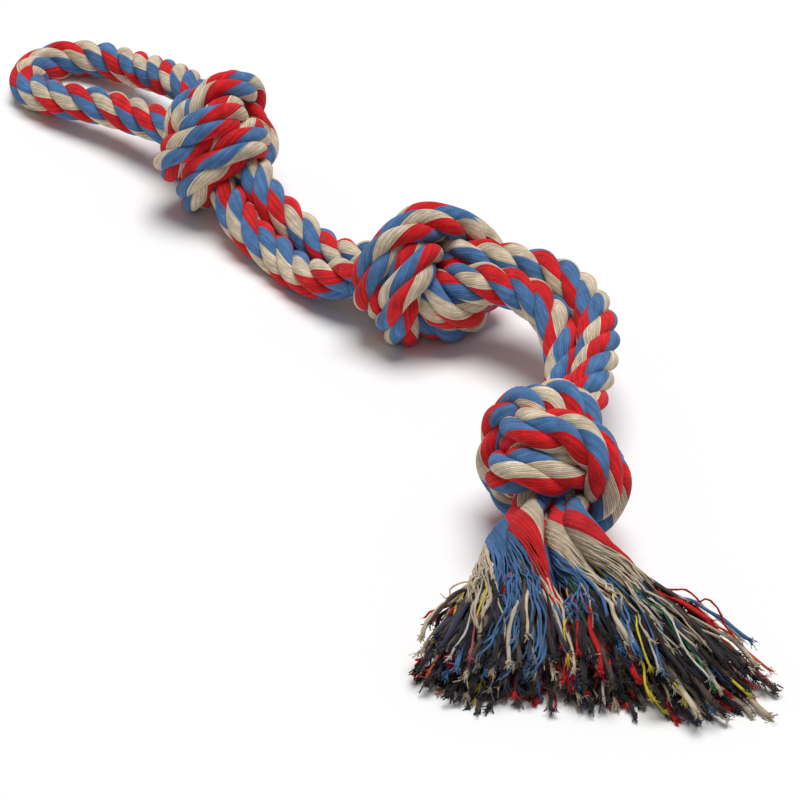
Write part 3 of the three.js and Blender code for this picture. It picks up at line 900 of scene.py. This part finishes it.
def brush_middle(end, k, column, layer, run):
    """A brush's middle: straight out of the knot along its strand, over a hump and down."""
    reach = fan_reaches[column]
    angle = math.radians(fan_from) + fan_step * (column + 0.5)
    height = brush_height / 2 + layer * (brush_height + brush_gap)
    way_out = outward_ways[end][k]
    tucked = strand_at[k, end_rings[end]] - way_out * tuck
    aside = level * elbow * (column - middle_column)
    led = tucked + unit(way_out + outward) * reach * lead_share + aside + np.array([0, 0, shoulder * layer])
    falling = fanned(angle, reach * fall_share, height + fan_hump * (1 + layer))
    laid = fanned(angle, reach, height)
    weights = [(1 - run) ** 3, 3 * (1 - run) ** 2 * run, 3 * (1 - run) * run ** 2, run ** 3]
    return sum(w[..., None] * point for w, point in zip(weights, (tucked, led, falling, laid)))


def twisted_offset(across, depth, start, run):
    """The yarns' places round the middle while the strand still keeps its twist."""
    held = depth[:, None] * (strand_radius + (bundle_radius - strand_radius) * smooth(run / swell_run))
    turned = start[:, None] - end_twist * (1 - (1 - run) ** 3)
    offset = (held * np.cos(turned))[..., None] * level + (held * np.sin(turned))[..., None] * rise
    offset += (held[..., None] * across[:, None] - offset) * (1 - smooth(run / round_run))[..., None]
    return offset


def opened_offset(depth, start, column, layer, run):
    """The yarns' places round the middle once the brush is open, a flat one with its own sector."""
    last = start - end_twist
    lock_ways = np.array([np.angle(np.exp(1j * last[lock == c]).sum()) for c in range(locks)])
    toward = np.angle(np.exp(1j * (lock_ways[np.minimum(lock, locks - 1)] - last)))
    last = last + np.where(is_cover, lock_draw, 0) * toward
    square = (np.cos(last) ** 4 + np.sin(last) ** 4) ** -0.25
    depth = np.where(is_cover, depth, depth / opened_core)
    aside = depth * np.cos(last) * square + rng.normal(0, side_scatter, yarn_count)
    above = depth * np.sin(last) * square + rng.normal(0, height_scatter, yarn_count)
    along = fan_reaches[column] * run
    angle = math.radians(fan_from) + fan_step * (column + 0.5)
    height = brush_height / 2 + layer * (brush_height + brush_gap)
    there = fanned(angle + aside[:, None] * fan_step / 2 * open_spread, along,
                   height + above[:, None] * brush_height / 2)
    return there - fanned(angle, along, height)


def comb_out(end, k, column, layer):
    """The yarns of one strand: their middle lines, radii and colours."""
    across, depth, names = strand_yarns(end, k)
    start = np.arctan2(across @ rise, across @ level)
    length = yarn_lengths(layer)
    shared_run = np.linspace(0, 1, tassel_rings)[None, :]
    run = shared_run * length[:, None]
    opened = smooth((run - open_from) / (open_to - open_from))[..., None]
    lines = (brush_middle(end, k, column, layer, run)
             + twisted_offset(across, depth, start, run) * (1 - opened)
             + opened_offset(depth, start, column, layer, run) * opened)

    reach = fan_reaches[column]
    shared = waves(locks + 1, shared_run.repeat(locks + 1, 0), reach)[lock]
    shared[cover_yarns:] = 0
    wave = shared + own_wave * waves(yarn_count, run, reach)
    lines += wave * smooth((run - wave_from) / wave_run)[..., None]
    curled = smooth((run / length[:, None] - curl_from) / curl_run)[..., None]
    lines += rng.normal(0, tip_curl, (yarn_count, 1, 3)) * curled
    lines[..., 2] *= 1 - sag_share * smooth((run - sag_from) / sag_run)

    radii = np.repeat([cover_radius, core_radius, odd_radius], [cover_yarns, core_yarns, odd_yarns])
    radii = radii * rng.uniform(*thicker_or_thinner, yarn_count)
    swollen = 1 + tip_swell * smooth((run - tip_swell_from) / tip_swell_run)
    radii = radii[:, None] * swollen * rng.uniform(*lumpiness, run.shape)
    return np.maximum(lines, [-1, -1, lowest]), radii, names


def tufts(lines, radii, names):
    """Short fibres that spread from each yarn's tip."""
    fibres = np.where(is_cover, cover_tuft, core_tuft)
    tip = np.repeat(lines[:, -1], fibres, axis=0)
    way = np.repeat(unit(lines[:, -1] - lines[:, -3]), fibres, axis=0)
    width = np.repeat(radii[:, -1], fibres)
    spread = rng.normal(0, tuft_spread, tip.shape)
    start = rng.normal(0, tuft_scatter, tip.shape) * width[:, None]
    length = tuft_length * rng.uniform(*tuft_lengths, (len(tip), 1, 1))
    t = np.linspace(0, 1, tuft_rings)[None, :, None]
    splayed = way[:, None] * (t - tuft_root) + spread[:, None] * t ** tuft_splay
    made = (tip + start)[:, None] + splayed * length
    thick = width[:, None] * tuft_thickness * (1 - tuft_taper * t[..., 0])
    return made, thick, list(np.repeat(names, fibres))


def tassel_colours(nodes, links, parts):
    colour = nodes.new("ShaderNodeAttribute")
    colour.attribute_name = "yarn_colour"
    return colour.outputs["Color"], None


tassel_yarn = cotton_material("tassel_yarn", tassel_colours, lint_share=0.2)


def yarn_piece(name, lines, radii, names, sides, run):
    """A piece of the tassel: one tube for each yarn or fibre, in its own colour."""
    tubes = on_floor(along_tubes(lines, radii, sides))
    made = tube_mesh(name, tubes, np.linspace(0, run, lines.shape[1]), np.arange(len(names)))
    layer = made.data.color_attributes.new("yarn_colour", "FLOAT_COLOR", "POINT")
    shades = np.array([yarn_colours[name] for name in names])
    shades[:, :3] *= rng.uniform(*lighter_or_darker, (len(names), 1))
    points_each = lines.shape[1] * sides
    layer.data.foreach_set("color", np.repeat(shades, points_each, axis=0).reshape(-1).astype(np.float32))
    made.data.materials.append(tassel_yarn)
    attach(made, "last_knot")
    return made


column_order = np.argsort([(middle - end_middle) @ level for middle in end_middles])
for end, letter in ((0, "a"), (1, "b")):
    from_middle = strand_at[:, end_rings[end]] - end_middles[end]
    by_height = np.argsort(from_middle @ rise)
    for layer, pair in ((1, by_height[2:]), (0, by_height[:2])):
        for side, k in enumerate(sorted(pair, key=lambda k: from_middle[k] @ level)):
            number = (1 - layer) * 2 + side + 1
            column = 2 * int(np.flatnonzero(column_order == end)[0]) + side
            lines, radii, names = comb_out(end, k, column, layer)
            brush = yarn_piece(f"tassel_{letter}{number}", lines, radii, names, tassel_sides,
                               fan_reaches[column])
            yarn_piece(f"frayed_{letter}{number}", *tufts(lines, radii, names), tuft_sides, tuft_length)
            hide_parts(f"tassel_end_{letter}{number}")

# The floor and the light. The toy lies loose on a plain white studio table, under one broad light
# that hangs nearly overhead, with white all round it.
floor_size = 14
floor_white = (0.96, 0.96, 0.96, 1)
sun_turn = (math.radians(-7), math.radians(-4), 0)
sun_width = math.radians(38)
sun_strength = 2.7
sky_strength = 0.2
sky_seen = 1
bpy.ops.object.select_all(action="DESELECT")
bpy.ops.mesh.primitive_plane_add(size=floor_size, location=(0, 0, 0))
floor = bpy.context.object
floor.name = "floor"
white = bpy.data.materials.new("studio_white")
white.use_nodes = True
shader = white.node_tree.nodes["Principled BSDF"]
shader.inputs["Base Color"].default_value = floor_white
shader.inputs["Roughness"].default_value = 1
shader.inputs["Specular IOR Level"].default_value = 0
floor.data.materials.append(white)

bpy.ops.object.light_add(type="SUN", rotation=sun_turn)
bpy.context.object.data.energy = sun_strength
bpy.context.object.data.angle = sun_width
world = bpy.data.worlds.new("studio")
world.use_nodes = True
scene.world = world
nodes, links = world.node_tree.nodes, world.node_tree.links
sky = nodes["Background"]
sky.inputs["Color"].default_value = (1, 1, 1, 1)
rays = nodes.new("ShaderNodeLightPath")
mirrored = maths(nodes, links, "MAXIMUM", rays.outputs["Is Glossy Ray"], rays.outputs["Is Transmission Ray"])
strength = nodes.new("ShaderNodeMix")
strength.inputs["A"].default_value = sky_strength
strength.inputs["B"].default_value = sky_seen
links.new(maths(nodes, links, "MAXIMUM", rays.outputs["Is Camera Ray"], mirrored), strength.inputs["Factor"])
links.new(strength.outputs["Result"], sky.inputs["Strength"])
scene.view_settings.view_transform = "Standard"
